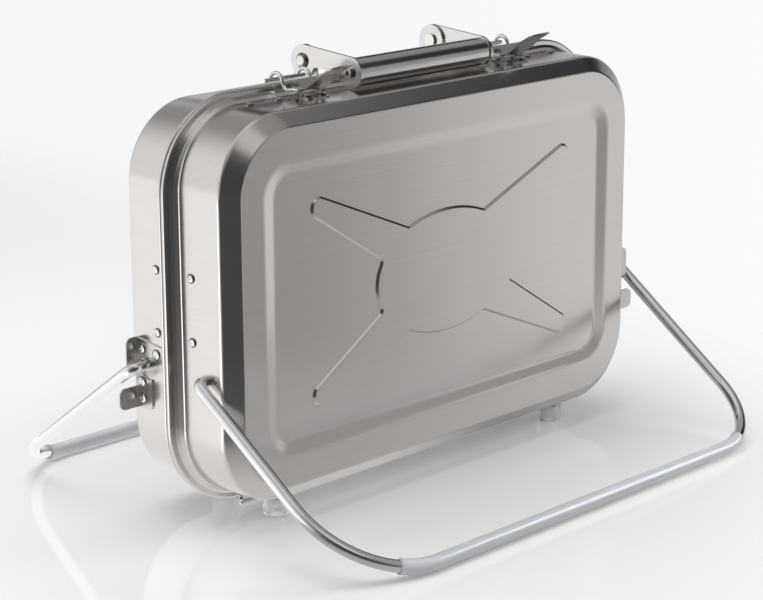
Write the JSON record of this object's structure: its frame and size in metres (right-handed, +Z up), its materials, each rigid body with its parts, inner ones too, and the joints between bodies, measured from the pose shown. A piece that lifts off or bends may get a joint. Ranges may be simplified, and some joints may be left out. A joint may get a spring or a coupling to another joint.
{
  "type": "portable suitcase grill",
  "caption": "Stainless suitcase grill: two pressed pans hinged along the bottom, with a folding handle, draw latches, fold-out wire legs, and cooking and charcoal grates inside.",
  "frame": {"origin": "centre of the bounding box in plan, on the floor", "axes": "+X to the right along the case's long side, -Y towards the viewer and the front half's face, +Z up"},
  "size_m": [0.4218, 0.3382, 0.2868],
  "materials": {
    "brushed_sheet": "brushed along the case",
    "plain_steel": "plain rolled sheet",
    "rivet_steel": "smooth",
    "grate_wire": "plated",
    "polished_steel": "polished",
    "handle_steel": "fine satin",
    "bracket_steel": "satin",
    "latch_steel": "plated",
    "clear_plastic": "clear, slightly milky"
  },
  "bodies": {
    "rear_half": {"rear_pan": "brushed_sheet", "rear_support_angles": "plain_steel", "rear_wall_rivets": "rivet_steel", "rear_grate_frame": "grate_wire", "rear_grate_bars": "grate_wire", "rear_charcoal_grate": "plain_steel", "rear_feet": "clear_plastic", "rear_foot_screws": "polished_steel", "rear_leg_bracket": "bracket_steel", "rear_bracket_rivets": "rivet_steel", "rear_hinge_leaf": "bracket_steel", "hinge_pin": "polished_steel", "left_handle_ear": "handle_steel", "right_handle_ear": "handle_steel", "handle_pivot_rivets": "polished_steel", "ear_rivets": "rivet_steel"},
    "front_half": {"front_pan": "brushed_sheet", "front_support_angles": "plain_steel", "front_wall_rivets": "rivet_steel", "front_grate_frame": "grate_wire", "front_grate_bars": "grate_wire", "front_charcoal_grate": "plain_steel", "front_feet": "clear_plastic", "front_foot_screws": "polished_steel", "front_leg_bracket": "bracket_steel", "front_bracket_rivets": "rivet_steel", "front_hinge_leaf": "bracket_steel", "left_latch_base": "latch_steel", "right_latch_base": "latch_steel", "left_latch_pin": "latch_steel", "right_latch_pin": "latch_steel", "latch_rivets": "rivet_steel"},
    "front_leg": {"front_leg_wire": "polished_steel", "front_leg_sleeve": "clear_plastic", "front_leg_washers": "plain_steel"},
    "rear_leg": {"rear_leg_wire": "polished_steel", "rear_leg_sleeve": "clear_plastic", "rear_leg_washers": "plain_steel"},
    "handle": {"left_handle_arm": "handle_steel", "right_handle_arm": "handle_steel", "handle_tube": "handle_steel", "handle_screws": "polished_steel"},
    "left_lever": {"left_latch_lever": "latch_steel"},
    "right_lever": {"right_latch_lever": "latch_steel"},
    "left_bail": {"left_latch_bail": "latch_steel"},
    "right_bail": {"right_latch_bail": "latch_steel"}
  },
  "joints": [
    {"name": "lid_hinge", "type": "hinge", "parent": "rear_half", "child": "front_half", "pos_m": [0, 0, 0.003], "axis": [1, 0, 0], "range_deg": [0, 150]},
    {"name": "front_leg_pivot", "type": "hinge", "parent": "front_half", "child": "front_leg", "pos_m": [0, -0.0267, 0.1008], "axis": [-1, 0, 0], "range_deg": [0, 115]},
    {"name": "rear_leg_pivot", "type": "hinge", "parent": "rear_half", "child": "rear_leg", "pos_m": [0, 0.0267, 0.1008], "axis": [1, 0, 0], "range_deg": [0, 115]},
    {"name": "handle_pivot", "type": "hinge", "parent": "rear_half", "child": "handle", "pos_m": [0, 0.0213, 0.2763], "axis": [-1, 0, 0], "range_deg": [0, 165]},
    {"name": "left_lever_pivot", "type": "hinge", "parent": "front_half", "child": "left_lever", "pos_m": [-0.094, -0.0145, 0.2662], "axis": [-1, 0, 0], "range_deg": [0, 95]},
    {"name": "left_bail_pivot", "type": "hinge", "parent": "left_lever", "child": "left_bail", "pos_m": [-0.094, -0.019, 0.2669], "axis": [-1, 0, 0], "range_deg": [-131, 1]},
    {"name": "right_lever_pivot", "type": "hinge", "parent": "front_half", "child": "right_lever", "pos_m": [0.094, -0.0145, 0.2662], "axis": [-1, 0, 0], "range_deg": [0, 95]},
    {"name": "right_bail_pivot", "type": "hinge", "parent": "right_lever", "child": "right_bail", "pos_m": [0.094, -0.019, 0.2669], "axis": [-1, 0, 0], "range_deg": [-131, 1]}
  ],
  "couplings": [
    {"joint": "left_bail_pivot", "follows": "left_lever_pivot", "ratio": -1.37},
    {"joint": "right_bail_pivot", "follows": "right_lever_pivot", "ratio": -1.37}
  ]
}
